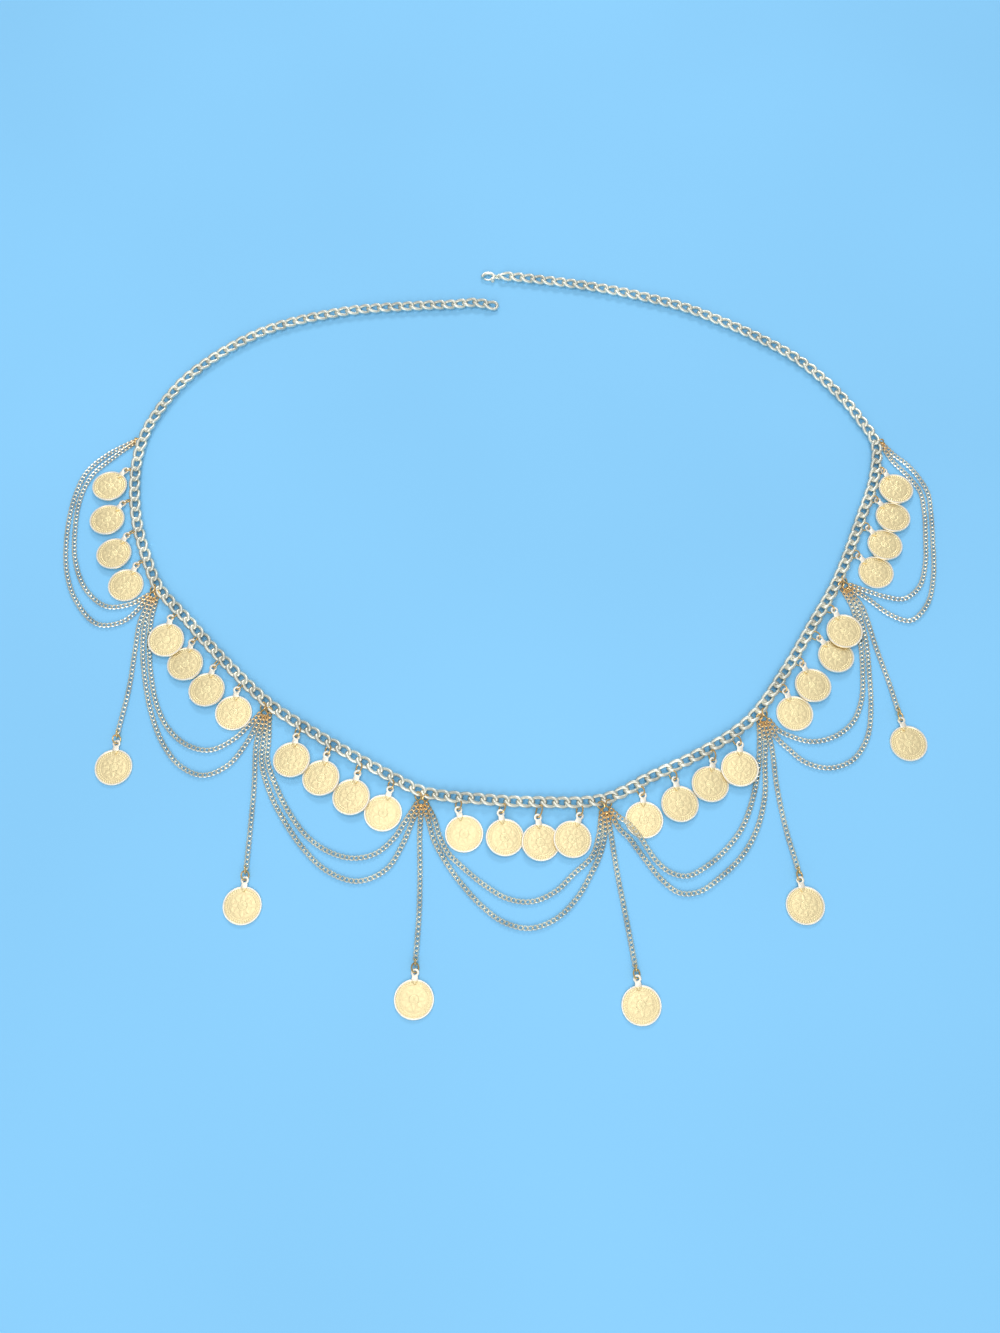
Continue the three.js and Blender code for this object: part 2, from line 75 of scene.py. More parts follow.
# Rows of coins: the link that each ring hangs from, how far each coin turns from straight down,
# the side on which it lies over its neighbour (1 is the next, -1 the last), its low side's height,
# and how much further it hangs than a coin whose ring lies closed up.
ROWS = [
    {"links": [3, 6, 9, 12], "turns": [37, 36, 27, 21], "over": 1, "lifts": [0, 0, 0, 0],
     "hang": [0.6, 1.9, 2.0, 1.3]},
    {"links": [3, 6, 9, 12], "turns": [6, 11, 11, 4], "over": 1, "lifts": [1.65, 0, 0, 0],
     "hang": [0, 0.3, 1.1, 0.2]},
    {"links": [3.5, 6.5, 9.5, 12.5], "turns": [8, 11, 13, 15], "over": 1, "lifts": [0, 0, 0, 0],
     "hang": [0.5, 0.3, 1.0, 0.3]},
    {"links": [3, 6.5, 9.5, 13], "turns": [-14, -10, -6, 18], "over": -1, "lifts": [0, 0, 0, 0],
     "hang": [0.7, 0.6, 2.3, 1.3]},
    {"links": [3, 6, 9.5, 12], "turns": [-1, -8, 10, 4], "over": -1, "lifts": [0, 0, 0, 1.65],
     "hang": [0.7, 0.9, 1.0, 1.2]},
    {"links": [3, 6, 9, 12], "turns": [-17, -20, -38, -20], "over": -1, "lifts": [0, 0, 0, 1.95],
     "hang": [0, 0, 1.0, 0]},
    {"links": [3, 6, 9, 12], "turns": [-42, -38, -36, -25], "over": -1, "lifts": [0, 0, 0, 0],
     "hang": [0, 0, -0.8, -1.5]},
]

# Swags: what the inner and outer strands pass through between two knots. A third number is the
# height at which a strand lies over a coin.
SWAGS = [
    {"inner": [(-225, 95), (-236.5, 82.5), (-241.5, 67), (-242, 48), (-239.5, 28), (-231.5, 10),
               (-219, -0.5), (-206, 0.5)],
     "outer": [(-228.5, 97), (-240, 84.5), (-245, 67), (-246.3, 45), (-243.5, 21), (-235.5, 2),
               (-222, -11.5), (-208, -9.5)]},
    {"inner": [(-193, -9), (-192.6, -24), (-189.5, -43), (-184.5, -60), (-177, -73), (-166, -82),
               (-154, -84.5), (-142, -78.5), (-133.5, -69.5)],
     "outer": [(-196, -9), (-196, -25), (-192.9, -44), (-187.5, -63.5), (-179.5, -81),
               (-169, -93.5), (-156.5, -98.5), (-144, -93), (-135, -80.5)]},
    {"inner": [(-123.2, -78), (-123.2, -90), (-117, -106), (-109.5, -119.5), (-100, -131.5),
               (-88.5, -139.5), (-76, -143), (-64, -140.5), (-54.5, -132), (-49.3, -123.5)],
     "outer": [(-126.2, -78), (-126.3, -91), (-120.5, -108.5), (-112.5, -123), (-102, -137.5),
               (-89, -149.5), (-73, -155), (-58.5, -149), (-50, -135), (-45.8, -124)]},
    {"inner": [(-34, -122.5), (-31.3, -131.5), (-27, -140), (-19.5, -147.5), (-8, -157), (4, -164),
               (16, -165.5), (28, -160.5), (38, -151), (47.5, -142), (51, -132)],
     "outer": [(-37, -124), (-34.4, -133), (-28.5, -144), (-20, -156), (-9, -168), (2, -176),
               (15, -179), (28, -174.5), (39, -164), (46.3, -152), (51.6, -141), (54.4, -130)]},
    {"inner": [(62.3, -121.8, 1), (65, -123.5, 1.5), (69, -127.5, 1.5), (72.5, -132.5, 1.5),
               (76, -138, 0.5), (80.5, -144.5), (87.5, -150.5), (96, -152.3), (106.5, -147),
               (117, -138), (126, -126.5), (132.8, -110), (136.6, -94), (138.2, -81)],
     "outer": [(62.3, -127.8), (66.8, -132.5), (74.5, -143.5), (82.5, -154), (91.5, -161),
               (101.5, -160.5), (113.5, -152.5), (125, -141.5), (133.5, -127.5), (138.8, -110),
               (140.3, -91), (141.4, -79.5)]},
    {"inner": [(148.3, -73), (154.5, -76.5), (166, -79.8), (178.5, -77), (189, -69), (195, -56.5),
               (197.4, -40), (198, -22), (196.8, -8), (195.5, -0.5)],
     "outer": [(147.5, -77.5), (153.5, -84), (162, -91.5), (174.5, -94.5), (187, -90), (196, -77.5),
               (199.8, -60), (201, -40), (201.2, -22), (199.8, -8), (198.1, -0.5)]},
    {"inner": [(205, 8.8), (214, 5.5), (225, 4), (234.5, 11.5), (239.6, 26), (241.8, 43), (243, 58),
               (242.2, 72), (238, 80), (233.2, 86.5), (228.5, 92.5)],
     "outer": [(205.5, 3.5), (216, -5.5), (227, -9.3), (237.5, 0.5), (243.2, 18), (245.6, 40),
               (246.8, 59), (246.6, 71), (242.5, 81.5), (236.4, 90.5), (230, 96.5)]},
]

# Drops: the points of the chain below the knot, the point where the last link holds the coin's
# ring, and how far the coin turns from straight down
DROPS = [
    {"knot": 1, "end": (-204, -76.5), "turn": 1,
     "route": [(-199.1, -10), (-200, -26), (-201, -50)]},
    {"knot": 2, "end": (-130.2, -150), "turn": 2,
     "route": [(-129.7, -80), (-129.3, -104), (-129.7, -130)]},
    {"knot": 3, "end": (-42.2, -196.5), "turn": 1,
     "route": [(-41.6, -130), (-41, -150), (-41, -172)]},
    {"knot": 4, "end": (67.6, -199.5), "turn": -7,
     "route": [(57.6, -131), (60, -150), (64, -175)]},
    {"knot": 5, "end": (152.8, -150), "turn": -7,
     "route": [(144.5, -82), (145.5, -104), (148.5, -128)]},
    {"knot": 6, "end": (214.2, -63.5), "turn": -11,
     "route": [(201, -0.5), (203.1, -8), (206, -24), (210.8, -45)]},
]

# Sizes that the frame fixes. A tab's hole is EAR_REACH from its coin's middle. A coin that lies on
# its neighbour rises LAP_RISE over the LAP_STEP between their middles.
COIN_RADIUS, COIN_THICKNESS = 10, 1
EAR_REACH, EAR_BASE, EAR_THICKNESS = 13, 0.8, 0.7
RING_RADIUS, RING_WIRE, RING_OUT, RING_HIGH = 2.2, 0.5, 4.05, 3.24
LAP_RISE, LAP_STEP = 1.4, 16
LAP_TILT = math.asin(LAP_RISE / LAP_STEP)
HINGE_HEIGHT = 2.2
DROP_RING_RADIUS = 2.6

# Where a jump ring holds the waist chain, out from its middle line, and the heights of its ends
RING_HOLD, RING_NEAR_HEIGHT, RING_FAR_HEIGHT = 1.45, 2.25, 2.1
RING_STEPS, RING_SIDES = 22, 8

# Knots: the shared flat ring's radius and height and how far out it lies, where the strands start
# from its middle, and the angle between them. An end knot has one jump ring and no shared ring.
KNOT_RING, KNOT_RING_HEIGHT, KNOT_OUT = 2.0, 0.75, 3.7
STRAND_REACH, FAN_STEP = 2.9, 36
KNOT_HEIGHT, KNOT_SHIFTS, KNOT_SPREAD, KNOT_REACH = 2.2, (-0.4, 0.4), 2.2, 1.2
END_KNOTS = (0, 7)
END_KNOT_OUT, END_RING_REACH, END_STRAND_REACH, END_LEAN = 3.3, 4.8, 1.3, 1.4

# Fine chain: how high its middle lies, half a link's length over its step, and how its links twist.
# Its colour is painted warmest at a knot, as a painted reflection of the gold there: by how much at
# most, and how far away it is plain again.
FINE_HEIGHT, FINE_REACH, FINE_TWIST = 0.8, 0.62, 0.36
REFLECTION_MOST, REFLECTION_REACH = 0.85, 10.0

# Drops: where the chain starts from the knot's middle and stops short of the hinge, the upright
# loop that holds its last link, and the coin's ring
DROP_START, DROP_STOP, DROP_STOP_HEIGHT = 2.4, 2.45, 0.7
LOOP_RADIUS, LOOP_WIRE, LOOP_BACK = 1.7, 0.42, 0.4
DROP_RING_REACH, DROP_RING_HEIGHT, DROP_RING_LEAN = 4.7, 1.75, math.radians(-40)

# Clasp: the middle of its claw and of its pin
CLASP_X, CLASP_Y = -7.3, 223.5
CLASP_PIN = Vector((-4.6, CLASP_Y - 1.9, 0))

# Lights, in metres and watts
LIGHTS = [
    {"name": "overhead_panel", "place": (-0.08, 0.12, 1.25), "target": (-0.08, 0.12, 0.0),
     "size": (0.9, 0.55), "power": 2.8},
    {"name": "key_softbox", "place": (0.05, 2.0, 1.35), "target": (0.0, 0.0, 0.0),
     "size": (0.5, 0.5), "power": 14},
    {"name": "front_fill", "place": (0.0, -1.6, 1.2), "target": (0.0, 0.0, 0.0),
     "size": (1.2, 1.2), "power": 13},
]
WORLD_COLOUR, WORLD_STRENGTH = (0.93, 0.96, 1.0, 1), 0.56

# Camera: its focal length and the frame's height in the photo's pixels, and its place in metres
FOCAL_PIXELS, FRAME_PIXELS, SENSOR = 1300, 1333, 36
CAMERA_PLACE, CAMERA_TARGET = Vector((0, -0.3022, 0.6579)), Vector((0, -0.0364, 0))


class ChainSizes(bpy.types.PropertyGroup):
    """Sizes of the links and rings"""
    waist_wire: FloatProperty(
        name="Waist wire", description="Radius of the waist chain's wire",
        default=1.1 * MM, unit="LENGTH")
    waist_length: FloatProperty(
        name="Waist link", description="Half the length of a link's middle line",
        default=4.1 * MM, unit="LENGTH")
    waist_width: FloatProperty(
        name="Waist width", description="Half the width of a link's middle line",
        default=2.4 * MM, unit="LENGTH")
    waist_twist: FloatProperty(
        name="Waist twist", description="How far a link's sides rise and dip",
        default=0.84 * MM, unit="LENGTH")
    fine_wire: FloatProperty(
        name="Fine wire", description="Radius of the fine chain's wire",
        default=0.42 * MM, unit="LENGTH")
    fine_pitch: FloatProperty(
        name="Fine pitch", description="From one fine link to the next",
        default=2.45 * MM, unit="LENGTH")
    fine_width: FloatProperty(
        name="Fine width", description="Half the width of a fine link's middle line",
        default=1.08 * MM, unit="LENGTH")
    ring_wire: FloatProperty(
        name="Ring wire", description="Radius of the jump rings' wire",
        default=0.42 * MM, unit="LENGTH")
    ring_lean: FloatProperty(
        name="Ring lean", description="How far a jump ring turns on edge",
        default=math.radians(45), subtype="ANGLE")


class CoinSizes(bpy.types.PropertyGroup):
    """Sizes of a stamped coin"""
    rim: FloatProperty(
        name="Rim", description="Width of the raised rim", default=0.75 * MM, unit="LENGTH")
    field: FloatProperty(
        name="Field", description="How far the face lies below the rim",
        default=0.22 * MM, unit="LENGTH")
    petals: IntProperty(name="Petals", description="Petals of the stamped rosette", default=8)
    beads: IntProperty(name="Beads", description="Beads of the stamped border", default=44)
    segments: IntProperty(name="Segments", description="Segments round a coin", default=48)


class Finishes(bpy.types.PropertyGroup):
    """Colours of the metal finishes"""
    waist_gold: FloatVectorProperty(
        name="Waist chain", description="Plate on the waist chain",
        default=(0.84, 0.83, 0.72), subtype="COLOR", size=3)
    fine_gold: FloatVectorProperty(
        name="Fine chain", description="Plate on the swags and drops",
        default=(0.84, 0.82, 0.70), subtype="COLOR", size=3)
    coin_gold: FloatVectorProperty(
        name="Coins", description="Plate on the coins",
        default=(0.94, 0.78, 0.45), subtype="COLOR", size=3)
    ring_gold: FloatVectorProperty(
        name="Rings", description="Plate on the jump rings",
        default=(0.78, 0.52, 0.22), subtype="COLOR", size=3)
    floor: FloatVectorProperty(
        name="Floor", description="Colour of the floor",
        default=(0.265, 0.63, 0.96), subtype="COLOR", size=3)


# Routes

def curve_at(points, t):
    """A point of the centripetal curve through the points, with t from 0 to 1."""
    last = len(points) - 1
    place = t * last
    i = min(int(place), last - 1)
    share = place - i
    p1, p2 = points[i], points[i + 1]
    p0 = points[i - 1] if i > 0 else 2 * p1 - p2
    p3 = points[i + 2] if i + 2 <= last else 2 * p2 - p1
    d0, d1, d2 = (max((b - a).length, 1e-9) ** 0.5 for a, b in ((p0, p1), (p1, p2), (p2, p3)))
    m1 = ((p1 - p0) / d0 - (p2 - p0) / (d0 + d1) + (p2 - p1) / d1) * d1
    m2 = ((p2 - p1) / d1 - (p3 - p1) / (d1 + d2) + (p3 - p2) / d2) * d1
    s2, s3 = share * share, share ** 3
    return p1 + m1 * share + (3 * (p2 - p1) - 2 * m1 - m2) * s2 + (2 * (p1 - p2) + m1 + m2) * s3


def even_points(points, start, end, count):
    """count + 1 points an equal distance apart along a part of the curve."""
    fine = 30 * count
    samples = [curve_at(points, start + (end - start) * i / fine) for i in range(fine + 1)]
    along = [0.0]
    for a, b in zip(samples, samples[1:]):
        along.append(along[-1] + (b - a).length)
    made, at = [], 0
    for i in range(count + 1):
        want = along[-1] * i / count
        while at < fine - 1 and along[at + 1] < want:
            at += 1
        share = (want - along[at]) / (along[at + 1] - along[at])
        made.append(samples[at].lerp(samples[at + 1], share))
    return made


def waist_points():
    """Quarter-link points along the waist. A link's middle is the second of every four."""
    points = [Vector((row[0], row[1], 0)) for row in WAIST]
    knots = [i / (len(WAIST) - 1) for i, row in enumerate(WAIST) if len(row) > 2]
    stops = [0] + knots + [1]
    made = [points[0]]
    for i, (start, end) in enumerate(zip(stops, stops[1:])):
        links = LINKS_LEFT if i == 0 else LINKS_RIGHT if i + 2 == len(stops) else LINKS_BAY
        made += even_points(points, start, end, 4 * links)[1:]
    return made


def heading(points, i):
    before, after = points[max(i - 1, 0)], points[min(i + 1, len(points) - 1)]
    return (after - before).normalized()


def bearing(degrees):
    return Vector((math.cos(math.radians(degrees)), math.sin(math.radians(degrees)), 0))


def hanging(turn):
    return bearing(270 - turn)


def outward(direction):
    return Vector((direction.y, -direction.x, 0)).normalized()


WAIST_POINTS = waist_points()


def waist_place(bay, link):
    """A place on the waist chain: its point and the way out of the loop."""
    i = round(4 * (LINKS_LEFT + bay * LINKS_BAY + link))
    return WAIST_POINTS[i], outward(heading(WAIST_POINTS, i))


def ring_foot(point, out, low):
    """Where the frame's leaning ring has its low side."""
    lean = math.asin((RING_HIGH - low) / (2 * RING_RADIUS))
    foot = point + out * (RING_OUT + RING_RADIUS * math.cos(lean))
    foot.z = low
    return foot


def knot_hub(knot):
    """The middle of the ring that a knot's strands share, and the way they spread."""
    point, out = waist_place(knot, 0)
    fan = KNOT_FANS[knot]
    if knot in END_KNOTS:
        return point + out * END_KNOT_OUT, fan
    return point + out * KNOT_OUT + bearing(fan) * KNOT_RING, fan


def strand_start(knot, slot):
    """Where a strand's first link holds a knot's ring."""
    hub, fan = knot_hub(knot)
    end = knot in END_KNOTS
    step = FAN_STEP / 2 if end else FAN_STEP
    return hub + bearing(fan + slot * step) * (END_STRAND_REACH if end else STRAND_REACH)


# Mesh helpers

def frame_matrix(centre, forward, up=Vector((0, 0, 1))):
    """Places a shape that points along +X with its top up."""
    forward = forward.normalized()
    side = up.cross(forward).normalized()
    top = forward.cross(side)
    matrix = Matrix((forward, side, top)).transposed().to_4x4()
    matrix.translation = centre
    return matrix


def spin_full(bm, steps):
    """Spins all of a bmesh once round Z and joins its ends."""
    bmesh.ops.spin(bm, geom=bm.verts[:] + bm.edges[:], cent=(0, 0, 0), axis=(0, 0, 1),
                   dvec=(0, 0, 0), angle=2 * math.pi, steps=steps, use_merge=True,
                   use_normal_flip=False, use_duplicate=False)
    bmesh.ops.remove_doubles(bm, verts=bm.verts[:], dist=1e-6)


def torus(major, wire, steps, sides):
    """A ring of round wire about Z, by spinning a circle."""
    bm = bmesh.new()
    profile = bmesh.ops.create_circle(bm, segments=sides, radius=wire)["verts"]
    bmesh.ops.rotate(bm, verts=profile, cent=(0, 0, 0), matrix=Matrix.Rotation(math.pi / 2, 3, "X"))
    bmesh.ops.translate(bm, verts=profile, vec=(major, 0, 0))
    spin_full(bm, steps)
    bmesh.ops.recalc_face_normals(bm, faces=bm.faces[:])
    return bm


def kept(bm, name):
    """Turns a bmesh into a mesh and frees it."""
    mesh = bpy.data.meshes.new(name)
    bm.to_mesh(mesh)
    bm.free()
    return mesh


def curb_link(half_length, half_width, twist, wire, steps, sides):
    """An oval link whose ends turn, so that it lies flat between its neighbours."""
    bm = torus(half_length, wire, steps, sides)
    for vert in bm.verts:
        t = math.atan2(vert.co.y, vert.co.x)
        middle = Vector((half_length * math.cos(t), half_length * math.sin(t), 0))
        shifted = Vector((half_length * math.cos(t), half_width * math.sin(t),
                          twist * math.sin(2 * t)))
        vert.co = shifted + (vert.co - middle)
    return kept(bm, "link")


def add_copy(bm, mesh, matrix, material=0, warmth=None):
    """Adds a mesh to a bmesh in its place."""
    first_vert, first_face = len(bm.verts), len(bm.faces)
    bm.from_mesh(mesh)
    bm.verts.ensure_lookup_table()
    bm.faces.ensure_lookup_table()
    bmesh.ops.transform(bm, matrix=matrix, verts=bm.verts[first_vert:])
    layer = bm.loops.layers.uv.get("warmth") if warmth is not None else None
    for face in bm.faces[first_face:]:
        face.material_index = material
        if layer:
            for loop in face.loops:
                loop[layer].uv = (warmth, 0)


def finish_piece(bm, name, materials, body, nodes=(), sharp=40):
    """Makes the object, sets its finish and hands it to the frame."""
    mesh = kept(bm, name)
    if not mesh.polygons:
        raise RuntimeError(f"{name} has no faces")
    mesh.polygons.foreach_set("use_smooth", [True] * len(mesh.polygons))
    mesh.set_sharp_from_angle(angle=math.radians(sharp))
    for material in materials:
        mesh.materials.append(material)
    piece = bpy.data.objects.new(name, mesh)
    bpy.context.scene.collection.objects.link(piece)
    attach(piece, body)
    if nodes:
        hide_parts(*nodes)


# Materials

def socket(node, key, value):
    """Sets or links an input."""
    target = node.inputs[key]
    if isinstance(value, bpy.types.NodeSocket):
        node.id_data.links.new(value, target)
    else:
        target.default_value = value


def calc(tree, operation, a, b=0.0, c=0.0, clamp=False):
    node = tree.nodes.new("ShaderNodeMath")
    node.operation = operation
    node.use_clamp = clamp
    for i, value in enumerate((a, b, c)):
        socket(node, i, value)
    return node.outputs[0]


def noise(tree, vector, scale, detail=3.0, roughness=0.5):
    node = tree.nodes.new("ShaderNodeTexNoise")
    socket(node, "Vector", vector)
    node.inputs["Scale"].default_value = scale
    node.inputs["Detail"].default_value = detail
    node.inputs["Roughness"].default_value = roughness
    return node.outputs["Fac"]


def ramp(tree, factor, stops):
    node = tree.nodes.new("ShaderNodeValToRGB")
    socket(node, "Fac", factor)
    elements = node.color_ramp.elements
    while len(elements) < len(stops):
        elements.new(0.5)
    for element, (place, colour) in zip(elements, stops):
        element.position = place
        element.color = (*colour, 1)
    return node.outputs["Color"]


def spread(tree, value, low, high):
    """Maps 0 to 1 onto low to high."""
    node = tree.nodes.new("ShaderNodeMapRange")
    socket(node, "Value", value)
    node.inputs["To Min"].default_value = low
    node.inputs["To Max"].default_value = high
    return node.outputs["Result"]


def blended(tree, factor, a, b):
    node = tree.nodes.new("ShaderNodeMix")
    node.data_type = "RGBA"
    socket(node, 0, factor)
    for i, value in ((6, a), (7, b)):
        if isinstance(value, bpy.types.NodeSocket):
            tree.links.new(value, node.inputs[i])
        else:
            node.inputs[i].default_value = (*value, 1)
    return node.outputs[2]


def bumped(tree, height, strength, distance):
    node = tree.nodes.new("ShaderNodeBump")
    node.inputs["Strength"].default_value = strength
    node.inputs["Distance"].default_value = distance
    socket(node, "Height", height)
    return node.outputs["Normal"]


def shade(colour, factor):
    return tuple(min(1.0, max(0.0, c * factor)) for c in colour)


def metal(name):
    """A material with its tree cleared to one metal shader."""
    material = bpy.data.materials.new(name)
    material.use_nodes = True
    tree = material.node_tree
    shader = tree.nodes["Principled BSDF"]
    shader.inputs["Metallic"].default_value = 1.0
    coords = tree.nodes.new("ShaderNodeTexCoord").outputs["Object"]
    return material, tree, shader, coords


def plated_wire(name, colour, rough, reflection_colour=None):
    """Bright plate on wire: patchy colour and fine scratches."""
    material, tree, shader, coords = metal(name)
    patches = noise(tree, coords, 70, 3)
    tone = ramp(tree, patches,
                [(0.3, shade(colour, 0.82)), (0.5, colour), (0.72, shade(colour, 1.18))])
    # Painted reflection: near a knot the tone is blended towards a warmer gold, read from the map's
    # first number.
    if reflection_colour:
        uv = tree.nodes.new("ShaderNodeUVMap")
        uv.uv_map = "warmth"
        parts = tree.nodes.new("ShaderNodeSeparateXYZ")
        tree.links.new(uv.outputs["UV"], parts.inputs[0])
        tone = blended(tree, parts.outputs["X"], tone, reflection_colour)
    grain = noise(tree, coords, 900, 4, 0.6)
    tree.links.new(tone, shader.inputs["Base Color"])
    tree.links.new(spread(tree, grain, rough - 0.08, rough + 0.14), shader.inputs["Roughness"])
    tree.links.new(bumped(tree, grain, 0.15, 0.0001), shader.inputs["Normal"])
    return material


def stamped_coin(sizes, colour):
    """Plated coin: a beaded border, a rosette and a mottled field, read from the coin's own map, with
    painted shade in the stamp's low parts and a painted highlight on the rim and ear.
    """
    material, tree, shader, coords = metal("stamped_coin_plate")
    uv = tree.nodes.new("ShaderNodeUVMap")
    uv.uv_map = "face"
    parts = tree.nodes.new("ShaderNodeSeparateXYZ")
    tree.links.new(uv.outputs["UV"], parts.inputs[0])
    x, y = parts.outputs["X"], parts.outputs["Y"]
    squares = calc(tree, "MULTIPLY", x, x), calc(tree, "MULTIPLY", y, y)
    radius = calc(tree, "SQRT", calc(tree, "ADD", *squares))
    angle = calc(tree, "ARCTAN2", y, x)

    def wave(count):
        turning = calc(tree, "COSINE", calc(tree, "MULTIPLY", angle, float(count)))
        return calc(tree, "MULTIPLY_ADD", turning, 0.5, 0.5)

    def band(centre, width):
        offset = calc(tree, "DIVIDE", calc(tree, "SUBTRACT", radius, centre), width)
        return calc(tree, "SUBTRACT", 1.0, calc(tree, "MULTIPLY", offset, offset), clamp=True)

    def inside(edge, softness):
        return calc(tree, "DIVIDE", calc(tree, "SUBTRACT", edge, radius), softness, clamp=True)

    beads = calc(tree, "MULTIPLY", band(0.83, 0.05), wave(sizes.beads))
    line = band(0.72, 0.025)
    petal_edge = calc(tree, "MULTIPLY_ADD", wave(sizes.petals), 0.3, 0.3)
    petals = calc(tree, "MULTIPLY", inside(petal_edge, 0.08),
                  spread(tree, wave(2 * sizes.petals), 0.55, 1.0))
    leaves = calc(tree, "MULTIPLY", band(0.56, 0.09),
                  calc(tree, "SUBTRACT", 1.0, wave(sizes.petals)))
    heart = inside(0.17, 0.05)
    ring = band(0.24, 0.03)
    height = beads
    for part, weight in ((line, 0.7), (petals, 0.8), (leaves, 0.6), (heart, 0.5)):
        height = calc(tree, "MULTIPLY_ADD", part, weight, height)
    height = calc(tree, "MULTIPLY_ADD", ring, -0.8, height)
    mottle = noise(tree, coords, 900, 3, 0.6)
    patches = noise(tree, coords, 160, 2)
    strikes = noise(tree, coords, 24, 1)
    relief = calc(tree, "MULTIPLY_ADD", mottle, 0.9, height)
    # Painted shade: the stamp's low parts are painted darker and its raised parts paler, mixed with
    # random strikes.
    strikes_and_recess_shade = calc(tree, "MULTIPLY_ADD", strikes, 0.3, calc(tree, "MULTIPLY", relief, 0.36))
    tone_factor = calc(tree, "MULTIPLY_ADD", patches, 0.35, strikes_and_recess_shade)
    tone = ramp(tree, tone_factor,
                [(0.2, shade(colour, 0.78)), (0.5, colour), (0.85, shade(colour, 1.1))])
    # Painted highlight: the rim and the ear are painted pale, where their rounded edges catch the
    # light.
    rim_highlight = calc(tree, "DIVIDE", calc(tree, "SUBTRACT", radius, 0.89), 0.03, clamp=True)
    tone = blended(tree, rim_highlight, tone, tuple(0.4 * c + 0.6 for c in colour))
    tree.links.new(tone, shader.inputs["Base Color"])
    tree.links.new(spread(tree, mottle, 0.36, 0.56), shader.inputs["Roughness"])
    tree.links.new(bumped(tree, relief, 0.45, 0.00022), shader.inputs["Normal"])
    return material


def material_named(name, make):
    return bpy.data.materials.get(name) or make()


def waist_metal(scene):
    return material_named("waist_chain_plate", lambda: plated_wire(
        "waist_chain_plate", tuple(scene.waist_finishes.waist_gold), 0.42))


def fine_metal(scene):
    # The rings' gold is painted on near the knots as a warm painted reflection.
    return material_named("fine_chain_plate", lambda: plated_wire(
        "fine_chain_plate", tuple(scene.waist_finishes.fine_gold), 0.3,
        tuple(scene.waist_finishes.ring_gold)))


def ring_metal(scene):
    return material_named("jump_ring_plate", lambda: plated_wire(
        "jump_ring_plate", tuple(scene.waist_finishes.ring_gold), 0.22))


def coin_metal(scene):
    return material_named("stamped_coin_plate", lambda: stamped_coin(
        scene.coin_sizes, tuple(scene.waist_finishes.coin_gold)))


# Pieces

def coin_mesh(sizes):
    """A coin face up, its ear towards +Y, its foot at z = 0, and its map in coin radii."""
    name = "coin_blank"
    if bpy.data.meshes.get(name):
        return bpy.data.meshes[name]
    bm = bmesh.new()
    rim = sizes.rim / MM
    face = COIN_THICKNESS - sizes.field / MM
    # Radius and height, from the middle of the back, round the rim, to the middle of the face
    profile = [(0, 0), (9.7, 0), (10, 0.2), (10, 0.82), (9.85, 1), (10 - rim, 1),
               (9.75 - rim, face), (6.5, face), (6.2, face + 0.03), (3, face + 0.05),
               (0, face + 0.06)]
    verts = [bm.verts.new((r * MM, 0, z * MM)) for r, z in profile]
    for a, b in zip(verts, verts[1:]):
        bm.edges.new((a, b))
    spin_full(bm, sizes.segments)
    add_ear(bm)
    bmesh.ops.recalc_face_normals(bm, faces=bm.faces[:])
    layer = bm.loops.layers.uv.new("face")
    for piece_face in bm.faces:
        for loop in piece_face.loops:
            co = loop.vert.co
            loop[layer].uv = (co.x / (COIN_RADIUS * MM), co.y / (COIN_RADIUS * MM))
    return kept(bm, name)


def add_ear(bm):
    """The tab that is soldered on the face: a ring round the hole, with a pointed foot."""
    # The ring's points that are drawn down to the foot, by their bearing in degrees
    foot = {234: (-1.45, 11.5), 252: (-1.75, 9.4), 270: (0, 6.9), 288: (1.75, 9.4),
            306: (1.45, 11.5)}
    hole = bmesh.ops.create_circle(bm, segments=20, radius=1.0 * MM)["verts"]
    edge = bmesh.ops.create_circle(bm, segments=20, radius=2.1 * MM)["verts"]
    bmesh.ops.translate(bm, verts=hole + edge, vec=(0, EAR_REACH * MM, EAR_BASE * MM))
    for vert in edge:
        degrees = round(math.degrees(math.atan2(vert.co.y - EAR_REACH * MM, vert.co.x))) % 360
        if degrees in foot:
            vert.co.x, vert.co.y = foot[degrees][0] * MM, foot[degrees][1] * MM
    loops = [e for e in bm.edges if e.verts[0] in hole + edge and e.verts[1] in hole + edge]
    flat = bmesh.ops.bridge_loops(bm, edges=loops)["faces"]
    raised = bmesh.ops.extrude_face_region(bm, geom=flat, use_keep_orig=True)["geom"]
    lifted = [v for v in raised if isinstance(v, bmesh.types.BMVert)]
    bmesh.ops.translate(bm, verts=lifted, vec=(0, 0, EAR_THICKNESS * MM))
    tops = [f for f in raised if isinstance(f, bmesh.types.BMFace)]
    borders = [e for e in {e for f in tops for e in f.edges}
               if len([f for f in e.link_faces if f in tops]) == 1]
    bmesh.ops.bevel(bm, geom=borders, offset=0.16 * MM, offset_type="OFFSET", segments=2,
                    profile=0.5, affect="EDGES", material=-1)


def ring_matrix(near, far, lean):
    """Places a ring so that it reaches from near to far, turned on edge about that line."""
    along = far - near
    return frame_matrix((near + far) / 2, along) @ Matrix.Rotation(lean, 4, "X")


def sized_ring(near, far, wire):
    """A ring as long as the way from near to far, and drawn out to an oval if that is long."""
    reach = (far - near).length / 2
    return curb_link(reach, min(reach, RING_RADIUS * MM), 0, wire, RING_STEPS, RING_SIDES)


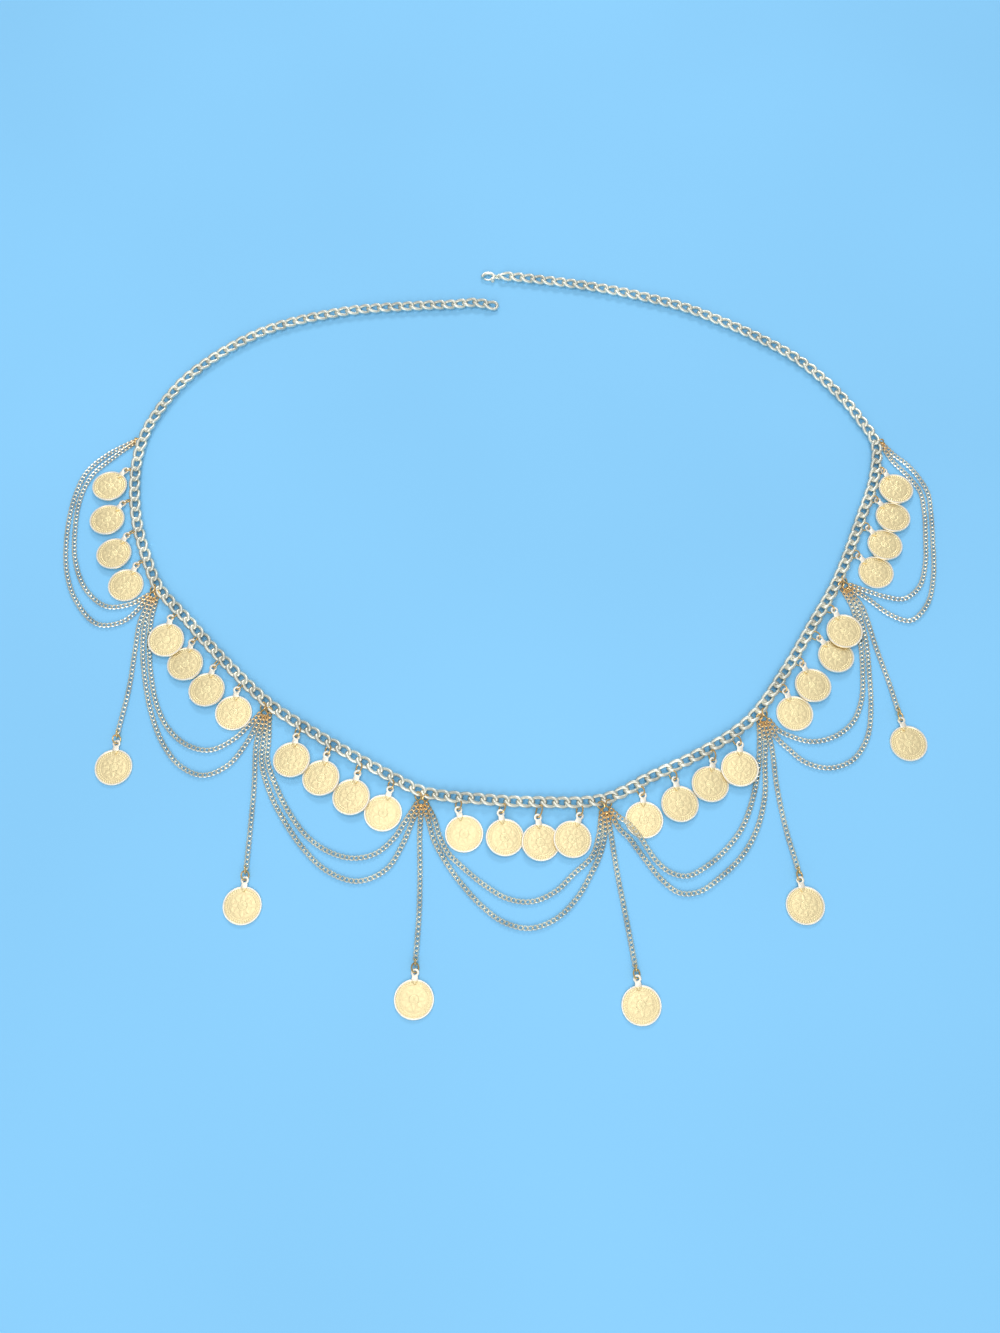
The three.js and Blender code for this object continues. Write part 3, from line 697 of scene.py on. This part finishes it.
def row_coin_place(bay, k):
    """The matrix of a row's coin, its ear's hole and the near end of its jump ring."""
    row = ROWS[bay]
    turn, over = row["turns"][k], row["over"]
    covers = k < 3 if over == 1 else k > 0
    leans = covers and row["lifts"][k] == 0
    tilt = LAP_TILT * over if leans else 0
    rise = COIN_RADIUS * math.sin(LAP_TILT) if leans else row["lifts"][k]
    point, out = waist_place(bay, row["links"][k])
    way = hanging(turn)
    left = Vector((-out.y, out.x, 0))
    ear = rise - left.dot(way) * EAR_REACH * math.sin(tilt) + EAR_BASE + EAR_THICKNESS / 2
    foot = ring_foot(point, out, max(RING_WIRE + 0.05, ear - 0.1))
    along = math.atan2(out.y, out.x)
    foot += way * row["hang"][k]
    middle = foot + way * EAR_REACH
    middle.z = rise
    matrix = (Matrix.Translation(middle * MM) @ Matrix.Rotation(along, 4, "Z")
              @ Matrix.Rotation(tilt, 4, "X")
              @ Matrix.Rotation(-math.radians(turn) - along, 4, "Z"))
    foot.z = ear
    near_link = round(row["links"][k] * 4)
    if near_link % 4 == 2:
        near_link -= 1 if over == 1 else -1
    hold, side = waist_place(bay, near_link / 4)
    near = hold + side * RING_HOLD
    near.z = RING_NEAR_HEIGHT
    return matrix, foot, near, way


class WAISTCHAIN_OT_links(bpy.types.Operator):
    """Makes the waist chain's curb links along its route"""
    bl_idname = "waistchain.links"
    bl_label = "Waist Links"

    def execute(self, context):
        sizes = context.scene.chain_sizes
        link = curb_link(sizes.waist_length, sizes.waist_width, sizes.waist_twist,
                         sizes.waist_wire, 14, 5)
        rise = sizes.waist_twist + sizes.waist_wire + 0.05 * MM
        bm = bmesh.new()
        for i in range(2, len(WAIST_POINTS) - 1, 4):
            centre = WAIST_POINTS[i] * MM
            centre.z = rise
            add_copy(bm, link, frame_matrix(centre, heading(WAIST_POINTS, i)))
        finish_piece(bm, "waist_links", [waist_metal(context.scene)], FIXED,
                     ["main_chain"], 80)
        return {"FINISHED"}


class WAISTCHAIN_OT_row_coins(bpy.types.Operator):
    """Makes the rows of coins, each with its jump ring"""
    bl_idname = "waistchain.row_coins"
    bl_label = "Row Coins"

    def execute(self, context):
        scene = context.scene
        blank = coin_mesh(scene.coin_sizes)
        for bay in range(len(ROWS)):
            for k in range(4):
                matrix, foot, near, way = row_coin_place(bay, k)
                far = foot - way * 0.1
                far.z = RING_FAR_HEIGHT
                bm = bmesh.new()
                bm.loops.layers.uv.new("face")
                add_copy(bm, blank, matrix)
                ring = sized_ring(near * MM, far * MM, scene.chain_sizes.ring_wire)
                lean = scene.chain_sizes.ring_lean
                add_copy(bm, ring, ring_matrix(near * MM, far * MM, lean), 1)
                finish_piece(bm, f"coin_{bay + 1}_{k + 1}", [coin_metal(scene), ring_metal(scene)],
                             FIXED, [f"row_{bay + 1}_coin_{k + 1}"])
        return {"FINISHED"}


class WAISTCHAIN_OT_knots(bpy.types.Operator):
    """Makes the jump rings that the strands hang from"""
    bl_idname = "waistchain.knots"
    bl_label = "Knots"

    def execute(self, context):
        scene = context.scene
        sizes = scene.chain_sizes
        for knot in range(len(KNOT_FANS)):
            hub, fan = knot_hub(knot)
            point, out = waist_place(knot, 0)
            bm = bmesh.new()
            end = knot in END_KNOTS
            for shift in ((0,) if end else KNOT_SHIFTS):
                hold, side = waist_place(knot, shift)
                near = hold + side * RING_HOLD
                if end:
                    far = point + out * END_RING_REACH
                else:
                    across = bearing(fan + 90) * KNOT_SPREAD * shift
                    far = hub - bearing(fan) * KNOT_REACH + across
                near.z = far.z = KNOT_HEIGHT
                ring = sized_ring(near * MM, far * MM, sizes.ring_wire)
                lean = sizes.ring_lean if shift <= 0 else -sizes.ring_lean
                lean *= END_LEAN if end else 1
                add_copy(bm, ring, ring_matrix(near * MM, far * MM, lean))
            if not end:
                flat = kept(torus(KNOT_RING * MM, sizes.ring_wire, RING_STEPS, RING_SIDES), "ring")
                centre = hub.copy()
                centre.z = KNOT_RING_HEIGHT
                add_copy(bm, flat, Matrix.Translation(centre * MM))
            nodes = {0: ["left_end_ring"], 7: ["right_end_ring"]}.get(knot, ())
            finish_piece(bm, f"knot_rings_{knot + 1}", [ring_metal(scene)], FIXED,
                         nodes)
        return {"FINISHED"}


def fine_strand(scene, points, knot_at_end):
    """A run of fine curb links through the points. Its knot ends are painted warmer, a painted
    reflection of the gold there.
    """
    sizes = scene.chain_sizes
    pitch = sizes.fine_pitch / MM
    rough = even_points(points, 0, 1, 40)
    length = sum((b - a).length for a, b in zip(rough, rough[1:]))
    count = max(2, round(length / pitch))
    places = even_points(points, 0, 1, count)
    step = length / count
    link = curb_link(step * FINE_REACH * MM, sizes.fine_width, FINE_TWIST * MM,
                     sizes.fine_wire, 10, 4)
    bm = bmesh.new()
    bm.loops.layers.uv.new("warmth")
    for i, place in enumerate(places):
        way = heading(places, i)
        centre = place.copy()
        centre.z = max(centre.z, 0) + FINE_HEIGHT + abs(way.z) * step * FINE_REACH
        # Painted reflection: links are painted warmer the nearer they lie to a knot.
        from_knot = min(i, count - i) * step if knot_at_end else i * step
        warmth = REFLECTION_MOST * max(0.0, 1.0 - from_knot / REFLECTION_REACH)
        add_copy(bm, link, frame_matrix(centre * MM, way), 0, warmth)
    return bm


def knot_slot(knot, name, starts):
    """Which of a knot's places a strand takes."""
    slot = 1 if name == "outer" else 2
    if knot in END_KNOTS:
        return 2 * slot - 3 if starts else 3 - 2 * slot
    return slot if starts else -slot


class WAISTCHAIN_OT_swags(bpy.types.Operator):
    """Makes the double swags of fine chain"""
    bl_idname = "waistchain.swags"
    bl_label = "Swags"

    def execute(self, context):
        for bay, swag in enumerate(SWAGS):
            for name, route in swag.items():
                points = [Vector((*row, 0)) if len(row) == 2 else Vector(row) for row in route]
                start = strand_start(bay, knot_slot(bay, name, True))
                end = strand_start(bay + 1, knot_slot(bay + 1, name, False))
                start.z = end.z = 0
                bm = fine_strand(context.scene, [start, *points, end], True)
                finish_piece(bm, f"strand_{bay + 1}_{name}", [fine_metal(context.scene)],
                             FIXED, [f"swag_{bay + 1}_{name}"], 80)
        return {"FINISHED"}


class WAISTCHAIN_OT_drops(bpy.types.Operator):
    """Makes the drops of fine chain and the coins at their ends"""
    bl_idname = "waistchain.drops"
    bl_label = "Drops"

    def execute(self, context):
        scene = context.scene
        for number, drop in enumerate(DROPS, 1):
            way = hanging(drop["turn"])
            hinge = Vector((*drop["end"], HINGE_HEIGHT))
            hub, fan = knot_hub(drop["knot"])
            start = hub + bearing(fan) * DROP_START
            start.z = 0
            stop = hinge - way * DROP_STOP
            stop.z = DROP_STOP_HEIGHT
            points = [start] + [Vector((*row, 0)) for row in drop["route"]] + [stop]
            bm = fine_strand(scene, points, False)
            loop = kept(torus(LOOP_RADIUS * MM, LOOP_WIRE * MM, 20, RING_SIDES), "ring")
            upright = Matrix.Rotation(math.pi / 2, 4, "X")
            add_copy(bm, loop, frame_matrix((hinge - way * LOOP_BACK) * MM, way) @ upright, 1)
            finish_piece(bm, f"drop_strand_{number}", [fine_metal(scene), ring_metal(scene)],
                         FIXED, [f"drop_{number}_chain"], 80)
            self.coin(scene, number, drop, way, hinge)
        return {"FINISHED"}

    def coin(self, scene, number, drop, way, hinge):
        """Makes one drop's coin and the ring that it swings on."""
        slope = math.asin((HINGE_HEIGHT - COIN_THICKNESS - 0.1) / (2 * DROP_RING_RADIUS))
        hole = hinge + way * (2 * DROP_RING_RADIUS * math.cos(slope) - 0.4)
        middle = hole + way * EAR_REACH
        middle.z = 0
        bm = bmesh.new()
        bm.loops.layers.uv.new("face")
        turn = Matrix.Rotation(-math.radians(drop["turn"]), 4, "Z")
        add_copy(bm, coin_mesh(scene.coin_sizes), Matrix.Translation(middle * MM) @ turn)
        far = hinge + way * DROP_RING_REACH
        far.z = DROP_RING_HEIGHT
        ring = sized_ring(hinge * MM, far * MM, scene.chain_sizes.ring_wire)
        add_copy(bm, ring, ring_matrix(hinge * MM, far * MM, DROP_RING_LEAN), 1)
        finish_piece(bm, f"drop_coin_piece_{number}", [coin_metal(scene), ring_metal(scene)],
                     f"drop_coin_{number}", [f"drop_{number}_coin"])


def bent_bar(rx, ry, start, end, width, height, steps):
    """A rounded bar bent along part of an oval about Z, with closed ends."""
    bm = bmesh.new()
    profile = bmesh.ops.create_circle(bm, segments=10, radius=1.0)["verts"]
    bmesh.ops.scale(bm, verts=profile, vec=(width / 2, height / 2, 1))
    bmesh.ops.rotate(bm, verts=profile, cent=(0, 0, 0), matrix=Matrix.Rotation(math.pi / 2, 3, "X"))
    bmesh.ops.translate(bm, verts=profile, vec=(rx, 0, 0))
    bmesh.ops.rotate(bm, verts=profile, cent=(0, 0, 0),
                     matrix=Matrix.Rotation(math.radians(start), 3, "Z"))
    bmesh.ops.spin(bm, geom=bm.verts[:] + bm.edges[:], cent=(0, 0, 0), axis=(0, 0, 1),
                   dvec=(0, 0, 0), angle=math.radians(end - start), steps=steps,
                   use_merge=False, use_normal_flip=False, use_duplicate=False)
    bmesh.ops.holes_fill(bm, edges=[e for e in bm.edges if e.is_boundary], sides=0)
    for vert in bm.verts:
        t = math.atan2(vert.co.y, vert.co.x)
        vert.co.y += (ry - rx) * math.sin(t)
    bmesh.ops.recalc_face_normals(bm, faces=bm.faces[:])
    return bm


def button(radius, height):
    """A low round rivet with a softened top edge."""
    bm = bmesh.new()
    bmesh.ops.create_circle(bm, segments=20, radius=radius, cap_ends=True)
    raised = bmesh.ops.extrude_face_region(bm, geom=bm.faces[:], use_keep_orig=True)["geom"]
    lifted = [v for v in raised if isinstance(v, bmesh.types.BMVert)]
    bmesh.ops.translate(bm, verts=lifted, vec=(0, 0, height))
    bmesh.ops.recalc_face_normals(bm, faces=bm.faces[:])
    tops = [e for e in bm.edges if all(v.co.z > height / 2 for v in e.verts)]
    bmesh.ops.bevel(bm, geom=tops, offset=radius * 0.25, offset_type="OFFSET", segments=2,
                    profile=0.5, affect="EDGES", material=-1)
    return bm


def at(x, z):
    """A place on the clasp's middle line."""
    return Matrix.Translation(Vector((x, CLASP_Y, z)) * MM)


def at_pin(z):
    return Matrix.Translation((CLASP_PIN + Vector((0, 0, z))) * MM)


class WAISTCHAIN_OT_clasp(bpy.types.Operator):
    """Makes the lobster clasp and its gate"""
    bl_idname = "waistchain.clasp"
    bl_label = "Clasp"

    def execute(self, context):
        finish = waist_metal(context.scene)
        quarter_turn = Matrix.Rotation(math.pi / 2, 4, "Z")
        tilt = Matrix.Rotation(math.radians(35), 4, "X")
        claw = kept(bent_bar(3.5 * MM, 2.6 * MM, -28, 195, 2.1 * MM, 2.6 * MM, 18), "claw")
        shank = kept(bent_bar(0.9 * MM, 0.9 * MM, -60, 240, 1.1 * MM, 2.0 * MM, 12), "shank")
        eye = kept(torus(1.1 * MM, 0.42 * MM, 18, 8), "eye")
        link = kept(torus(1.3 * MM, 0.4 * MM, 18, 8), "ring")
        cheek = kept(button(1.35 * MM, 0.55 * MM), "cheek")
        stem = kept(button(0.42 * MM, 2.3 * MM), "stem")
        head = kept(button(0.95 * MM, 0.42 * MM), "head")
        bm = bmesh.new()
        for part, place in ((claw, at(CLASP_X, 1.3)), (shank, at(-3.2, 1.2) @ quarter_turn),
                            (eye, at(-2.2, 1.2)), (link, at(-0.6, 1.45) @ tilt),
                            (cheek, at_pin(0)), (stem, at_pin(0)), (head, at_pin(2.15))):
            add_copy(bm, part, place)
        finish_piece(bm, "clasp_claw", [finish], FIXED, ["clasp_body"], 60)
        gate = kept(bent_bar(3.2 * MM, 2.4 * MM, 224, 306, 1.15 * MM, 0.95 * MM, 9), "gate")
        knuckle = kept(torus(1.05 * MM, 0.28 * MM, 18, 8), "knuckle")
        bm = bmesh.new()
        add_copy(bm, gate, at(CLASP_X, 1.35))
        for lift in (1.15, 1.55):
            add_copy(bm, knuckle, at_pin(lift))
        finish_piece(bm, "clasp_gate_piece", [finish], "clasp_gate",
                     ["clasp_lever"], 60)
        return {"FINISHED"}


def aimed(place, target):
    """The turn that points a light or camera from its place at a target."""
    return (Vector(target) - Vector(place)).to_track_quat("-Z", "Y").to_euler()


def area_light(row):
    """Adds one light of the table."""
    data = bpy.data.lights.new(row["name"], "AREA")
    data.shape = "RECTANGLE"
    data.size, data.size_y = row["size"]
    data.energy = row["power"]
    light = bpy.data.objects.new(row["name"], data)
    bpy.context.scene.collection.objects.link(light)
    light.location = row["place"]
    light.rotation_euler = aimed(row["place"], row["target"])


def floor_material(colour):
    """Plain matt paint."""
    material = bpy.data.materials.new("floor_paint")
    material.use_nodes = True
    tree = material.node_tree
    shader = tree.nodes["Principled BSDF"]
    coords = tree.nodes.new("ShaderNodeTexCoord").outputs["Object"]
    tone = ramp(tree, noise(tree, coords, 3, 2),
                [(0.3, shade(colour, 0.97)), (0.7, shade(colour, 1.03))])
    tree.links.new(tone, shader.inputs["Base Color"])
    shader.inputs["Roughness"].default_value = 0.75
    shader.inputs["Specular IOR Level"].default_value = 0.2
    return material


class WAISTCHAIN_OT_stage(bpy.types.Operator):
    """Makes the floor, the light and the camera"""
    bl_idname = "waistchain.stage"
    bl_label = "Stage"

    def execute(self, context):
        scene = context.scene
        bm = bmesh.new()
        bmesh.ops.create_grid(bm, x_segments=2, y_segments=2, size=4)
        floor = bpy.data.objects.new("floor", kept(bm, "floor"))
        floor.location.z = -0.0001
        floor.data.materials.append(floor_material(tuple(scene.waist_finishes.floor)))
        scene.collection.objects.link(floor)
        for row in LIGHTS:
            area_light(row)
        world = bpy.data.worlds.new("studio")
        world.use_nodes = True
        background = world.node_tree.nodes["Background"]
        background.inputs["Color"].default_value = WORLD_COLOUR
        background.inputs["Strength"].default_value = WORLD_STRENGTH
        scene.world = world
        scene.view_settings.view_transform = "Standard"
        self.camera(scene)
        return {"FINISHED"}

    def camera(self, scene):
        data = bpy.data.cameras.new("camera")
        data.sensor_fit = "VERTICAL"
        data.sensor_height = SENSOR
        data.lens = SENSOR * FOCAL_PIXELS / FRAME_PIXELS
        data.clip_start = 0.01
        camera = bpy.data.objects.new("camera", data)
        scene.collection.objects.link(camera)
        camera.location = CAMERA_PLACE
        camera.rotation_euler = aimed(CAMERA_PLACE, CAMERA_TARGET)
        scene.camera = camera


STEPS = (WAISTCHAIN_OT_stage, WAISTCHAIN_OT_links, WAISTCHAIN_OT_row_coins, WAISTCHAIN_OT_knots,
         WAISTCHAIN_OT_swags, WAISTCHAIN_OT_drops, WAISTCHAIN_OT_clasp)


class WAISTCHAIN_PT_panel(bpy.types.Panel):
    """Lists the pieces of the waist chain"""
    bl_label = "Waist Chain"
    bl_idname = "WAISTCHAIN_PT_panel"
    bl_space_type = "VIEW_3D"
    bl_region_type = "UI"
    bl_category = "Waist Chain"

    def draw(self, context):
        scene = context.scene
        for group in (scene.chain_sizes, scene.coin_sizes, scene.waist_finishes):
            column = self.layout.column(align=True)
            for name in group.__annotations__:
                column.prop(group, name)
        for step in STEPS:
            self.layout.operator(step.bl_idname)


GROUPS = (("chain_sizes", ChainSizes), ("coin_sizes", CoinSizes), ("waist_finishes", Finishes))


def register():
    for name, group in GROUPS:
        bpy.utils.register_class(group)
        setattr(bpy.types.Scene, name, PointerProperty(type=group))
    for cls in (*STEPS, WAISTCHAIN_PT_panel):
        bpy.utils.register_class(cls)


def unregister():
    for cls in (WAISTCHAIN_PT_panel, *reversed(STEPS)):
        bpy.utils.unregister_class(cls)
    for name, group in reversed(GROUPS):
        delattr(bpy.types.Scene, name)
        bpy.utils.unregister_class(group)


def main():
    register()
    for step in STEPS:
        module, operator = step.bl_idname.split(".")
        getattr(getattr(bpy.ops, module), operator)()


if __name__ == "__main__":
    main()
